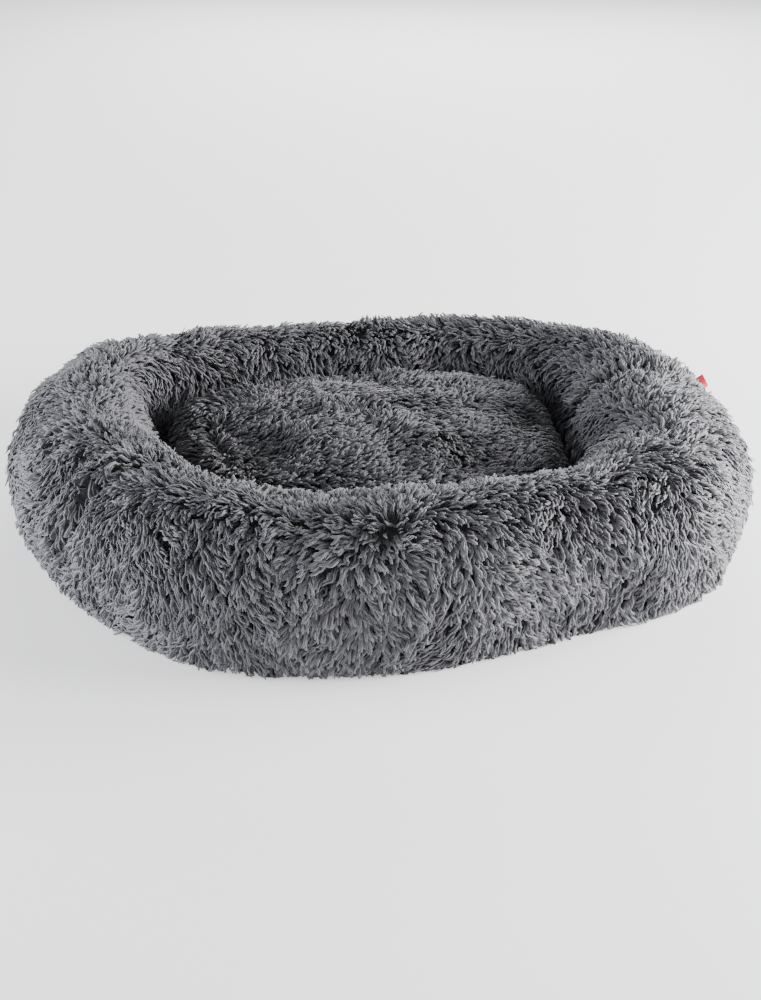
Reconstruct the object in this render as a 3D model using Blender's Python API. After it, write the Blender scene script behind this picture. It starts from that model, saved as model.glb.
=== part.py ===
"""Shaggy oval pet bed: a stuffed plush ring on a sewn base, with a loose zipped cushion in its nest.

Metres, +Z up, +X along the bed's length, -Y towards its front.
The origin is on the floor, under the middle of the bed.
"""
import math

import bmesh
import bpy
import numpy as np
from mathutils import Matrix, Vector

# Overall size, pile included
LENGTH = 0.90
WIDTH = 0.75
FRONT_HEIGHT = 0.20
BACK_HEIGHT = 0.158

# The ring: how wide the stuffed roll is in front, behind and at the two ends
FRONT_ROLL = 0.188
BACK_ROLL = 0.148
END_ROLL = 0.21
PLUSH = 0.014                    # ring fabric with its pile pressed flat
BELLY = 0.45                     # height of the roll's widest place, as a share of its crest
TUCK = math.radians(40)          # how far the cover turns in under the roll
SEAM_ANGLE = math.radians(15)    # the ring's two seams are here and opposite

# Plan outline: a superellipse with a slight wobble, as (order, cosine share, sine share)
PLAN_POWER = 2.4
WOBBLE = ((2, 0.015, 0.0), (3, 0.0, 0.019), (4, 0.0, -0.025))

# Layers of the base
BASE_THICKNESS = 0.0025
WADDING_THICKNESS = 0.008
FLOOR_THICKNESS = 0.002
BASE_MARGIN = 0.002              # the base panel stands out past the cover's foot by this
FLOOR_START = 1.84               # the floor layers start this many half roll widths inside the outline

# The loose cushion
CUSHION_CROWN = 0.142            # height of its middle above the floor
CUSHION_RIM = 0.126              # height of its upper edge
CUSHION_SEAM = 0.066             # height of the seam round its side
CUSHION_ROUND = 0.052            # how far its edge rounds over
CUSHION_CLEARANCE = 0.003        # between the cushion and the ring
CUSHION_PLUSH = 0.010
UNDERSIDE_THICKNESS = 0.002
PAD_RISE = 0.006                 # the inner pad lies this far above the cushion's underside
CASING_THICKNESS = 0.001

# The cushion's zip, along X under its middle
ZIP_END_CLOTH = 0.015            # least flat cloth past each end of the zip's tape
ZIP_STEP = 0.010                 # zips are cut to whole centimetres
ZIP_SLOT_HALF = 0.008
ZIP_TAPE_WIDTH = 0.012
ZIP_TAPE_THICKNESS = 0.0008
ZIP_TAPE_SPARE = 0.012           # tape past each end of the teeth
ZIP_TEETH_WIDTH = 0.0025
ZIP_TEETH_THICKNESS = 0.0024
ZIP_TEETH_GAP = 0.0012           # between the two rows, for the slider's web
ZIP_STOP_LENGTH = 0.004
SLIDER_LENGTH = 0.013
SLIDER_WIDTH = 0.008
SLIDER_PLATE = 0.0009
SLIDER_WEB = 0.0006

# Sewn-in labels: length, how far they stand out, thickness
SIDE_LABEL = (0.026, 0.012, 0.0016)
SIDE_LABEL_PLACE = math.radians(41)
CARE_LABEL = (0.030, 0.016, 0.0010)
CARE_LABEL_PLACE = math.radians(72)

# Clearances
FIT = 0.0003                     # between faces that touch on the real bed
SEAM_GAP = 0.0006                # between two sewn panels
STUFFING_EASE = 0.0013           # between the cushion's cover, its pad's casing and the fibre
RING_EASE = 0.0018               # between the ring's cover and its fibre

# Mesh fineness
RING_STEPS = 48                  # round the whole oval
SECTION_STEP = math.radians(20)  # round the roll's section
CUSHION_STEPS = 36
CUSHION_ROWS = 12                # from pole to pole
ROUND_LATITUDE = math.radians(60)  # latitudes below this make the cushion's rounded edge

# Heights that follow from the layers
WADDING_LEVEL = BASE_THICKNESS + FIT
FLOOR_LEVEL = WADDING_LEVEL + WADDING_THICKNESS + FIT
CUSHION_LEVEL = FLOOR_LEVEL + FLOOR_THICKNESS + FIT
RING_FOOT = BASE_THICKNESS + FIT
ZIP_LEVEL = CUSHION_LEVEL + UNDERSIDE_THICKNESS + FIT + ZIP_TAPE_THICKNESS / 2


def clear_scene():
    """Remove everything a new file holds."""
    for thing in list(bpy.data.objects):
        bpy.data.objects.remove(thing, do_unlink=True)


def signed_power(value, power):
    """Keep the sign of value and raise its size to power."""
    return np.sign(value) * np.abs(value) ** power


def wobble(angle):
    """Factor by which the outline swells or shrinks there."""
    reach = 1.0
    for order, cosine, sine in WOBBLE:
        reach = reach + cosine * np.cos(order * angle) + sine * np.sin(order * angle)
    return reach


def even_plan(angle, inset):
    """Point of a plain superellipse, moved inwards at right angles to it by inset, then wobbled."""
    x = LENGTH / 2 * signed_power(np.cos(angle), 2 / PLAN_POWER)
    y = WIDTH / 2 * signed_power(np.sin(angle), 2 / PLAN_POWER)
    normal_x = signed_power(np.cos(angle), 2 - 2 / PLAN_POWER) / LENGTH
    normal_y = signed_power(np.sin(angle), 2 - 2 / PLAN_POWER) / WIDTH
    size = np.hypot(normal_x, normal_y)
    reach = wobble(angle)
    return (x - inset * normal_x / size) * reach, (y - inset * normal_y / size) * reach


def plan_fit():
    """Middle and full width of that outline on X and on Y, at the ring's own mesh steps."""
    steps = np.arange(RING_STEPS) * 2 * math.pi / RING_STEPS
    x, y = even_plan(steps, 0.0)
    return (x.max() + x.min()) / 2, np.ptp(x), (y.max() + y.min()) / 2, np.ptp(y)


MIDDLE_X, SPAN_X, MIDDLE_Y, SPAN_Y = plan_fit()


def plan(angle, inset):
    """Point of the bed's outline moved in by inset, set so that the bed is centred and full size."""
    x, y = even_plan(angle, inset)
    return (x - MIDDLE_X) * LENGTH / SPAN_X, (y - MIDDLE_Y) * WIDTH / SPAN_Y


def roll_half(angle):
    """Half the roll's width: wide at the ends, narrower in front, narrowest behind."""
    front = (1 - np.sin(angle)) / 2
    across = FRONT_ROLL * front + BACK_ROLL * (1 - front)
    return (END_ROLL * np.cos(angle) ** 2 + across * np.sin(angle) ** 2) / 2


def crest_height(angle):
    """Height of the roll's crest, from the back to the front."""
    front = (1 - np.sin(angle)) / 2
    return FRONT_HEIGHT * front + BACK_HEIGHT * (1 - front)


def ring_point(angle, turn, depth):
    """Point of the roll, depth below its surface. turn is 0 outside, 90 degrees on the crest, 180 inside."""
    half = roll_half(angle)
    crest = crest_height(angle)
    belly = BELLY * crest
    across = depth + (half - depth) * (1 - np.cos(turn))
    x, y = plan(angle, across)
    above = (crest - depth - belly) * np.sin(turn)
    below = (belly - RING_FOOT) * np.maximum(np.sin(turn) / math.sin(TUCK), -1.0)
    z = belly + np.where(np.sin(turn) > 0, above, below)
    return np.stack([x, y, z], axis=-1)


def nest_middle():
    """Middle of the opening inside the ring."""
    front = plan(np.array(-math.pi / 2), FRONT_ROLL)[1]
    back = plan(np.array(math.pi / 2), BACK_ROLL)[1]
    return np.array([0.0, (front + back) / 2])


def cushion_outline(angle, inset):
    """Point of the cushion's widest outline, moved inset towards the nest's middle."""
    x, y = plan(angle, 2 * roll_half(angle) + CUSHION_CLEARANCE)
    middle = nest_middle()
    away_x = x - middle[0]
    away_y = y - middle[1]
    share = 1 - inset / np.hypot(away_x, away_y)
    return middle[0] + away_x * share, middle[1] + away_y * share


def zip_length():
    """Longest zip in whole steps that fits the flat of the underside, centred under the bed's middle."""
    ends = cushion_outline(np.array([0.0, math.pi]), CUSHION_ROUND)[0]
    half = np.abs(ends).min() - ZIP_TAPE_SPARE - ZIP_END_CLOTH
    return ZIP_STEP * math.floor(2 * half / ZIP_STEP)


def cushion_point(angle, latitude, depth, rise):
    """Point of the cushion, depth inside its side and rise above its underside.

    Up to ROUND_LATITUDE the rows round the edge over; past it they close on the middle.
    """
    size = np.abs(latitude)
    turn = np.minimum(size / ROUND_LATITUDE, 1.0) * math.pi / 2
    inset = depth + (CUSHION_ROUND - depth) * (1 - np.cos(turn))
    x, y = cushion_outline(angle, inset)
    closing = np.clip((size - ROUND_LATITUDE) / (math.pi / 2 - ROUND_LATITUDE), 0.0, 1.0)
    middle = nest_middle()
    x = x + (middle[0] - x) * closing
    y = y + (middle[1] - y) * closing
    crown = (CUSHION_CROWN - CUSHION_RIM) * (1 - (1 - closing) ** 2)
    top = CUSHION_SEAM + (CUSHION_RIM - depth - CUSHION_SEAM) * np.sin(turn) + crown
    under = CUSHION_SEAM - (CUSHION_SEAM - CUSHION_LEVEL - rise) * np.sin(turn)
    z = np.where(latitude > 0, top, under)
    return np.stack([x, y, z], axis=-1)


def coordinates(points):
    """Vertices' places as an array."""
    return np.array([tuple(point.co) for point in points])


def move_to(points, places):
    """Put the vertices at the places."""
    for point, place in zip(points, places):
        point.co = place


def finish(mesh, name, material, collection, smooth=True):
    """Turn a bmesh into a named object with its material, its faces pointing out."""
    if mesh.calc_volume(signed=True) < 0:
        bmesh.ops.reverse_faces(mesh, faces=mesh.faces)
    data = bpy.data.meshes.new(name)
    mesh.to_mesh(data)
    mesh.free()
    if smooth:
        data.shade_smooth()
        data.set_sharp_from_angle(angle=math.radians(40))
    thing = bpy.data.objects.new(name, data)
    data.materials.append(material)
    collection.objects.link(thing)
    return thing


def walled(mesh, outer_places, inner_places):
    """Give an open surface a wall: its own faces, an inner copy of them, and a strip along the rim."""
    outer = list(mesh.verts)
    faces = list(mesh.faces)
    rim = [edge for edge in mesh.edges if edge.is_boundary]
    move_to(outer, outer_places)
    inner = {point: mesh.verts.new(place) for point, place in zip(outer, inner_places)}
    for face in faces:
        mesh.faces.new([inner[point] for point in reversed(face.verts)])
    for edge in rim:
        start = edge.link_loops[0].vert
        end = edge.link_loops[0].link_loop_next.vert
        mesh.faces.new([end, start, inner[start], inner[end]])
    return mesh


def grid(columns, rows):
    """Open sheet of columns by rows quads, with both coordinates running from 0 to 1."""
    mesh = bmesh.new()
    bmesh.ops.create_grid(mesh, x_segments=columns, y_segments=rows, size=0.5)
    places = coordinates(mesh.verts) + np.array([0.5, 0.5, 0.0])
    return mesh, places[:, 0], places[:, 1]


def ring_cover(name, first_angle, material, collection):
    """Half of the ring's plush cover, open underneath, from one seam to the other."""
    section = math.pi + 2 * TUCK
    mesh, along, round_roll = grid(RING_STEPS // 2, round(section / SECTION_STEP))
    trim = SEAM_GAP / LENGTH
    angle = first_angle + trim + along * (math.pi - 2 * trim)
    turn = -TUCK + round_roll * section
    walled(mesh, ring_point(angle, turn, 0.0), ring_point(angle, turn, PLUSH))
    return finish(mesh, name, material, collection)


def ring_fill(material, collection):
    """Fibre stuffing of the ring: a closed oval roll inside the cover."""
    section_steps = round(2 * math.pi / SECTION_STEP)
    bpy.ops.mesh.primitive_torus_add(major_segments=RING_STEPS, minor_segments=section_steps,
                                     major_radius=2.0, minor_radius=1.0)
    torus = bpy.context.object
    mesh = bmesh.new()
    mesh.from_mesh(torus.data)
    bpy.data.objects.remove(torus, do_unlink=True)
    places = coordinates(mesh.verts)
    angle = np.arctan2(places[:, 1], places[:, 0])
    turn = np.arctan2(places[:, 2], np.hypot(places[:, 0], places[:, 1]) - 2.0)
    turn = turn - TUCK
    filled = ring_point(angle, turn, PLUSH + RING_EASE)
    filled[:, 2] = np.maximum(filled[:, 2], RING_FOOT + FIT)
    move_to(mesh.verts, filled)
    return finish(mesh, "bolster_fill", material, collection)


def panel(name, inset, level, thickness, material, collection):
    """Flat panel whose outline is the bed's, moved in by inset(angle)."""
    mesh = bmesh.new()
    bmesh.ops.create_cone(mesh, cap_ends=True, segments=RING_STEPS, radius1=1.0, radius2=1.0, depth=1.0)
    places = coordinates(mesh.verts)
    angle = np.arctan2(places[:, 1], places[:, 0])
    x, y = plan(angle, inset(angle))
    z = level + (places[:, 2] + 0.5) * thickness
    move_to(mesh.verts, np.stack([x, y, z], axis=-1))
    return finish(mesh, name, material, collection, smooth=False)


def outer_foot(angle):
    """How far in the base panel's edge lies."""
    return roll_half(angle) * (1 - math.cos(TUCK)) - BASE_MARGIN


def nest_floor(angle):
    """How far in the floor layers start, where they meet the ring's inner wall."""
    return roll_half(angle) * FLOOR_START


def half_ball(upper):
    """Half a unit sphere cut at its equator, with the angle and latitude of its vertices."""
    mesh = bmesh.new()
    bmesh.ops.create_uvsphere(mesh, u_segments=CUSHION_STEPS, v_segments=CUSHION_ROWS, radius=1.0)
    side = 1 if upper else -1
    spare = [point for point in mesh.verts if point.co.z * side < -1e-4]
    bmesh.ops.delete(mesh, geom=spare, context="VERTS")
    places = coordinates(mesh.verts)
    latitude = np.arcsin(np.clip(places[:, 2], -1.0, 1.0))
    return mesh, np.arctan2(places[:, 1], places[:, 0]), latitude


def cushion_shell(name, upper, depth, rise, wall, material, collection):
    """Upper or lower half of the cushion's form as a shell of the given wall, ending at the seam."""
    mesh, angle, latitude = half_ball(upper)
    nudge = SEAM_GAP / 2 if upper else -SEAM_GAP / 2
    latitude = np.where(np.abs(latitude) < 1e-4, 1e-6 if upper else -1e-6, latitude)
    outer = cushion_point(angle, latitude, depth, rise)
    inner = cushion_point(angle, latitude, depth + wall, rise + wall)
    at_seam = np.abs(latitude) < 1e-4
    outer[at_seam, 2] += nudge
    inner[at_seam, 2] += nudge
    walled(mesh, outer, inner)
    return finish(mesh, name, material, collection)


def cushion_underside(name, side, material, collection):
    """Front (side -1) or rear (side 1) underside panel, from the zip slot out and up to the seam."""
    curved_rows = round(ROUND_LATITUDE / (math.pi / CUSHION_ROWS))
    flat_rows = 2
    rows = curved_rows + flat_rows
    mesh, along, out = grid(CUSHION_STEPS // 2, rows)
    angle = side * along * math.pi
    row = out * rows
    latitude = -np.minimum(row / curved_rows, 1.0) * ROUND_LATITUDE - 1e-6
    flat = np.clip((row - curved_rows) / flat_rows, 0.0, 1.0)
    slot_x = (zip_length() / 2 + ZIP_TAPE_SPARE) * np.cos(angle)
    slot_y = np.full_like(slot_x, side * ZIP_SLOT_HALF)

    def places(depth):
        """The panel's surface, depth inside the cushion."""
        points = cushion_point(angle, latitude, depth, depth)
        points[:, 0] += (slot_x - points[:, 0]) * flat
        points[:, 1] += (slot_y - points[:, 1]) * flat
        points[:, 1] += side * SEAM_GAP / 2
        points[row < 0.5, 2] -= SEAM_GAP / 2
        return points

    walled(mesh, places(0.0), places(UNDERSIDE_THICKNESS))
    return finish(mesh, name, material, collection)


def pad_fill(material, collection):
    """Fibre of the inner pad: one closed form inside its casing."""
    mesh = bmesh.new()
    bmesh.ops.create_uvsphere(mesh, u_segments=CUSHION_STEPS, v_segments=CUSHION_ROWS, radius=1.0)
    places = coordinates(mesh.verts)
    angle = np.arctan2(places[:, 1], places[:, 0])
    latitude = np.arcsin(np.clip(places[:, 2], -1.0, 1.0))
    inset = CUSHION_PLUSH + CASING_THICKNESS + 2 * STUFFING_EASE
    move_to(mesh.verts, cushion_point(angle, latitude, inset, PAD_RISE + CASING_THICKNESS + STUFFING_EASE))
    return finish(mesh, "pad_fill", material, collection)


def block(name, size, place, material, collection, turn=None):
    """Box of the given size with softened edges, its middle at place."""
    mesh = bmesh.new()
    bmesh.ops.create_cube(mesh, size=1.0)
    bmesh.ops.scale(mesh, vec=size, verts=mesh.verts)
    bmesh.ops.bevel(mesh, geom=list(mesh.edges), offset=min(size) / 5, segments=1, affect="EDGES")
    thing = finish(mesh, name, material, collection, smooth=False)
    thing.matrix_world = Matrix.Translation(place) @ (turn or Matrix.Identity(4))
    return thing


def zip_parts(fabric, metal, collection):
    """The zip: two tapes, two rows of teeth and a stop at each end."""
    length = zip_length()
    for side, word in ((-1, "front"), (1, "rear")):
        teeth_y = side * (ZIP_TEETH_GAP + ZIP_TEETH_WIDTH) / 2
        tape_y = side * (ZIP_TEETH_GAP / 2 + ZIP_TEETH_WIDTH + FIT + ZIP_TAPE_WIDTH / 2)
        block(f"zip_tape_{word}", (length + 2 * ZIP_TAPE_SPARE, ZIP_TAPE_WIDTH, ZIP_TAPE_THICKNESS),
              Vector((0, tape_y, ZIP_LEVEL)), fabric, collection)
        block(f"zip_teeth_{word}", (length, ZIP_TEETH_WIDTH, ZIP_TEETH_THICKNESS),
              Vector((0, teeth_y, ZIP_LEVEL)), metal, collection)
    stop_x = length / 2 + FIT + ZIP_STOP_LENGTH / 2
    stop_size = (ZIP_STOP_LENGTH, ZIP_TEETH_GAP + 2 * ZIP_TEETH_WIDTH, ZIP_TEETH_THICKNESS)
    block("zip_stop_closed", stop_size, Vector((stop_x, 0, ZIP_LEVEL)), metal, collection)
    block("zip_stop_open", stop_size, Vector((-stop_x, 0, ZIP_LEVEL)), metal, collection)


def zip_slider(metal, collection):
    """Slider without a pull tab: two plates joined by a web that runs between the rows of teeth."""
    inner = ZIP_TEETH_THICKNESS / 2 + FIT
    outer = inner + SLIDER_PLATE
    wide = SLIDER_WIDTH / 2
    web = SLIDER_WEB / 2
    quarter = [(web, inner), (wide, inner), (wide, outer)]
    corners = quarter + [(-y, z) for y, z in reversed(quarter)]
    corners += [(-y, -z) for y, z in quarter] + [(y, -z) for y, z in reversed(quarter)]
    curve = bpy.data.curves.new("zip_slider_outline", "CURVE")
    curve.dimensions = "2D"
    curve.fill_mode = "BOTH"
    curve.extrude = SLIDER_LENGTH / 2
    spline = curve.splines.new("POLY")
    spline.points.add(len(corners) - 1)
    for point, (y, z) in zip(spline.points, corners):
        point.co = (y, z, 0, 1)
    spline.use_cyclic_u = True
    outline = bpy.data.objects.new("zip_slider_outline", curve)
    collection.objects.link(outline)
    evaluated = outline.evaluated_get(bpy.context.evaluated_depsgraph_get())
    mesh = bmesh.new()
    mesh.from_mesh(bpy.data.meshes.new_from_object(evaluated))
    bpy.data.objects.remove(outline, do_unlink=True)
    bmesh.ops.remove_doubles(mesh, verts=mesh.verts, dist=1e-5)
    slider = finish(mesh, "zip_slider", metal, collection, smooth=False)
    rest_x = zip_length() / 2 - SLIDER_LENGTH / 2
    upright = Matrix(((0, 0, 1), (1, 0, 0), (0, 1, 0))).to_4x4()
    slider.matrix_world = Matrix.Translation((rest_x, 0, ZIP_LEVEL)) @ upright
    return slider


def side_label(material, collection):
    """Folded tag sewn into the ring's right seam, standing out from the plush."""
    step = 0.01
    angle = np.array(SEAM_ANGLE)
    place = Vector(ring_point(angle, np.array(SIDE_LABEL_PLACE), 0.0))
    over = Vector(ring_point(angle, np.array(SIDE_LABEL_PLACE + step), 0.0)) - place
    along = Vector(ring_point(angle + step, np.array(SIDE_LABEL_PLACE), 0.0)) - place
    outwards = along.cross(over).normalized() * -1
    if outwards.z < 0:
        outwards = -outwards
    over.normalize()
    aside = outwards.cross(over)
    length, reach, thickness = SIDE_LABEL
    turn = Matrix((over, outwards, aside)).transposed().to_4x4()
    middle = place + outwards * (reach / 2 + FIT)
    return block("side_label", (length, reach, thickness), middle, material, collection, turn)


def care_label(material, collection):
    """Small folded tag at the base panel's rear edge, under the ring's bulge."""
    angle = np.array(CARE_LABEL_PLACE)
    edge_x, edge_y = plan(angle, outer_foot(angle))
    out_x, out_y = plan(angle, outer_foot(angle) - 1.0)
    outwards = Vector((float(out_x - edge_x), float(out_y - edge_y), 0)).normalized()
    length, reach, thickness = CARE_LABEL
    upwards = Vector((0, 0, 1))
    turn = Matrix((outwards.cross(upwards), outwards, upwards)).transposed().to_4x4()
    edge = Vector((float(edge_x), float(edge_y), BASE_THICKNESS / 2))
    middle = edge + outwards * (reach / 2 + SEAM_GAP)
    return block("care_label", (length, reach, thickness), middle, material, collection, turn)


def material(name, colour, roughness, metallic=0.0):
    """Plain Principled material."""
    made = bpy.data.materials.new(name)
    made.use_nodes = True
    shader = made.node_tree.nodes["Principled BSDF"]
    shader.inputs["Base Color"].default_value = (*colour, 1.0)
    shader.inputs["Roughness"].default_value = roughness
    shader.inputs["Metallic"].default_value = metallic
    return made


def build():
    """Make every sub-part of the bed."""
    clear_scene()
    bed = bpy.data.collections.new("pet_cushion_bed")
    bpy.context.scene.collection.children.link(bed)

    plush = material("grey plush", (0.14, 0.14, 0.16), 0.95)
    cushion_plush = material("cushion plush", (0.12, 0.12, 0.14), 0.95)
    base_cloth = material("base cloth", (0.03, 0.03, 0.035), 0.8)
    lining = material("white lining", (0.75, 0.75, 0.74), 0.9)
    fibre = material("stuffing fibre", (0.85, 0.85, 0.84), 1.0)
    tape = material("zip tape", (0.05, 0.05, 0.055), 0.8)
    zip_metal = material("zip metal", (0.30, 0.30, 0.31), 0.35, 1.0)
    red_ribbon = material("red ribbon", (0.45, 0.02, 0.03), 0.7)
    white_ribbon = material("white ribbon", (0.8, 0.8, 0.78), 0.7)

    panel("base_panel", outer_foot, 0.0, BASE_THICKNESS, base_cloth, bed)
    panel("floor_wadding", nest_floor, WADDING_LEVEL, WADDING_THICKNESS, fibre, bed)
    panel("floor_panel", nest_floor, FLOOR_LEVEL, FLOOR_THICKNESS, base_cloth, bed)
    ring_cover("bolster_cover_rear", SEAM_ANGLE, plush, bed)
    ring_cover("bolster_cover_front", SEAM_ANGLE + math.pi, plush, bed)
    ring_fill(fibre, bed)
    side_label(red_ribbon, bed)
    care_label(white_ribbon, bed)

    casing_depth = CUSHION_PLUSH + STUFFING_EASE
    cushion_shell("cushion_top_panel", True, 0.0, 0.0, CUSHION_PLUSH, cushion_plush, bed)
    cushion_underside("cushion_underside_front", -1, base_cloth, bed)
    cushion_underside("cushion_underside_rear", 1, base_cloth, bed)
    cushion_shell("pad_casing_top", True, casing_depth, 0.0, CASING_THICKNESS, lining, bed)
    cushion_shell("pad_casing_bottom", False, casing_depth, PAD_RISE, CASING_THICKNESS, lining, bed)
    pad_fill(fibre, bed)
    zip_parts(tape, zip_metal, bed)
    zip_slider(zip_metal, bed)


build()
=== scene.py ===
"""Looks of the shaggy oval pet bed: plush ring, loose cushion, sewn base, labels and zip.

Metres, +Z up, +X along the bed, -Y towards its front, as in the frame.
"""

import math

import bpy
import numpy as np
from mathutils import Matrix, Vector


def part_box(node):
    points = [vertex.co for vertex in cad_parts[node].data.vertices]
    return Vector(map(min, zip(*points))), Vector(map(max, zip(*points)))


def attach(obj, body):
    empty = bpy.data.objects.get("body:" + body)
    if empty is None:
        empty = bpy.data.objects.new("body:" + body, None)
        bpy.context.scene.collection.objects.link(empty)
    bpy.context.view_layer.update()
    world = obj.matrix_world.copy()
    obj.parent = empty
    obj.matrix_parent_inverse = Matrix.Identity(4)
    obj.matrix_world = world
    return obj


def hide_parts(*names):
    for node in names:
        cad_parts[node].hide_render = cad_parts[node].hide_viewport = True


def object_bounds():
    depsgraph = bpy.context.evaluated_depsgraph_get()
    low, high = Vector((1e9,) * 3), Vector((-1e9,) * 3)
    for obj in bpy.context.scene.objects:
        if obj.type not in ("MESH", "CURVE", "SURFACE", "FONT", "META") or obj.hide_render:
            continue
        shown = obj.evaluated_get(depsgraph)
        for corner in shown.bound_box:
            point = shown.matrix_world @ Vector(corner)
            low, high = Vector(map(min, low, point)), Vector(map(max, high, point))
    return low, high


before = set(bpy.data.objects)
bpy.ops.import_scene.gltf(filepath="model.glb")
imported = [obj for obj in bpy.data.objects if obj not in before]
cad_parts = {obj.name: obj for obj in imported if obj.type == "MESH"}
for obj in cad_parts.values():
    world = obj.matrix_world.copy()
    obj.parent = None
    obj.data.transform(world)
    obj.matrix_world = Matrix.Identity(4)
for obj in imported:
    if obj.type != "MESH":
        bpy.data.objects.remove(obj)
cad_low, cad_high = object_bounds()

# ---------------------------------------------------------------- sizes of the bed's form
LENGTH = cad_high.x - cad_low.x
WIDTH = cad_high.y - cad_low.y
FRONT_HEIGHT = 0.20
BACK_HEIGHT = 0.158
FRONT_ROLL = 0.188
BACK_ROLL = 0.148
END_ROLL = 0.21
BELLY = 0.45
TUCK = math.radians(40)
SEAM_ANGLE = math.radians(15)
PLAN_POWER = 2.4
WOBBLE = ((2, 0.015, 0.0), (3, 0.0, 0.019), (4, 0.0, -0.025))
BASE_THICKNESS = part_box("base_panel")[1].z
RING_FOOT = BASE_THICKNESS + 0.0003
CUSHION_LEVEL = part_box("cushion_underside_front")[0].z
CUSHION_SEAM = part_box("cushion_top_panel")[0].z - 0.0003
CUSHION_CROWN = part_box("cushion_top_panel")[1].z
CUSHION_RIM = 0.126
CUSHION_ROUND = 0.052
CUSHION_CLEARANCE = 0.003
EDGE_CLIMB = 0.4                 # share of the climb that the cushion's rounded edge takes
SLOT_HALF = 0.008                # half the width of the slot over the zip
STITCH_PITCH = 0.0024
TOOTH_PITCH = 0.002
DOT_PITCH = 0.030
RED_RIBBON = (0.020, 0.017, 0.0010)   # width along the seam, reach, gap between the layers
CARE_RIBBON = (0.030, 0.030, 0.0010)

# Places where the hand-stuffed roll is fuller or slacker than its plain form: angle round the bed, turn round
# the roll, spread of both (all in degrees), and how far it stands out, in metres
DENTS = (
    (228, -5, 22, 45, -0.016),
    (300, -25, 24, 35, -0.041),
    (75, 70, 26, 40, -0.008),
    (112, 70, 22, 40, -0.010),
    (262, 100, 26, 35, -0.017),
    (310, 100, 22, 35, -0.010),
    (190, -5, 25, 35, 0.014),
    (212, 95, 18, 40, 0.006),
)

# ---------------------------------------------------------------- pile
RING_CLOTH_DEPTH = 0.012         # the woven backing lies this far under the pile's mean surface
CUSHION_CLOTH_DEPTH = 0.010
LOCK_RINGS = (0.0, 0.25, 0.5, 0.75, 0.92)   # places along a lock where it has a triangle of points
LOCK_WIDTHS = (0.85, 1.0, 1.0, 0.92, 0.68)
LOCK_STEPS = 12                  # steps used to bend a lock

RING_LOCKS = 48400
CUSHION_LOCKS = 11600
RING_SECTORS = 8
CLUMP = 0.0056                   # width of a clump of locks
RING_PILE_LENGTH = 0.025
CUSHION_PILE_LENGTH = 0.018
LOCK_WIDTH = 0.0033
PARTING = 271                    # angle round the bed of the parting in the front's pile, degrees


def place_camera():
    """Camera a little over 2 m away, 27 degrees above the floor, straight in front."""
    elevation = math.radians(27.2)
    back = Vector((0, -math.cos(elevation), math.sin(elevation)))
    up = Vector((0, math.sin(elevation), math.cos(elevation)))
    middle = Vector((0, 0, 0.095))
    aim = middle + Vector((0.0031, 0, 0)) - up * 0.0550
    data = bpy.data.cameras.new("camera")
    data.sensor_width = 36
    data.lens = 65.3
    data.clip_end = 50
    camera = bpy.data.objects.new("camera", data)
    bpy.context.scene.collection.objects.link(camera)
    camera.location = middle + back * 2.25
    camera.rotation_mode = "QUATERNION"
    camera.rotation_quaternion = (aim - camera.location).to_track_quat("-Z", "Y")
    bpy.context.scene.camera = camera


# ---------------------------------------------------------------- numbers and noise
def signed_power(value, power):
    """Keep the sign of value and raise its size to power."""
    return np.sign(value) * np.abs(value) ** power


def unit(vectors):
    """Vectors scaled to length 1."""
    return vectors / np.maximum(np.linalg.norm(vectors, axis=-1, keepdims=True), 1e-9)


def ease(value, start, end):
    """0 below start, 1 above end, and 3t^2 - 2t^3 between."""
    t = np.clip((value - start) / (end - start), 0.0, 1.0)
    return t * t * (3 - 2 * t)


def smooth_noise(points, size, seed, waves=28):
    """Sum of sine waves in random directions, with wavelengths about size, scaled to a spread of 1."""
    chance = np.random.default_rng(seed)
    directions = unit(chance.normal(size=(waves, 3)))
    lengths = size * chance.uniform(0.7, 1.5, waves)
    phases = chance.uniform(0, 2 * math.pi, waves)
    angles = points.reshape(-1, 3) @ (directions / lengths[:, None]).T * 2 * math.pi + phases
    return (np.sin(angles).sum(axis=1) * math.sqrt(2 / waves)).reshape(points.shape[:-1])


# ---------------------------------------------------------------- the bed's surfaces
def wobble(angle):
    """Factor by which the outline swells or shrinks there."""
    reach = 1.0
    for order, cosine, sine in WOBBLE:
        reach = reach + cosine * np.cos(order * angle) + sine * np.sin(order * angle)
    return reach


def even_plan(angle, inset):
    """Point of a superellipse, moved inwards at right angles to it by inset, then wobbled."""
    x = LENGTH / 2 * signed_power(np.cos(angle), 2 / PLAN_POWER)
    y = WIDTH / 2 * signed_power(np.sin(angle), 2 / PLAN_POWER)
    normal_x = signed_power(np.cos(angle), 2 - 2 / PLAN_POWER) / LENGTH
    normal_y = signed_power(np.sin(angle), 2 - 2 / PLAN_POWER) / WIDTH
    size = np.hypot(normal_x, normal_y)
    reach = wobble(angle)
    return (x - inset * normal_x / size) * reach, (y - inset * normal_y / size) * reach


def plan_fit():
    """Middle and full width of that outline on X and on Y."""
    x, y = even_plan(np.arange(48) * math.pi / 24, 0.0)
    return (x.max() + x.min()) / 2, np.ptp(x), (y.max() + y.min()) / 2, np.ptp(y)


MIDDLE_X, SPAN_X, MIDDLE_Y, SPAN_Y = plan_fit()


def plan(angle, inset):
    """Point of the bed's outline moved in by inset, centred and at full size."""
    x, y = even_plan(angle, inset)
    return (x - MIDDLE_X) * LENGTH / SPAN_X, (y - MIDDLE_Y) * WIDTH / SPAN_Y


def angle_table():
    """Angles at even steps of length along the middle of the ring."""
    angles = np.linspace(0, 2 * math.pi, 2001)
    x, y = plan(angles, 0.09)
    walked = np.concatenate([[0], np.cumsum(np.hypot(np.diff(x), np.diff(y)))])
    return angles, walked / walked[-1]


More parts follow.
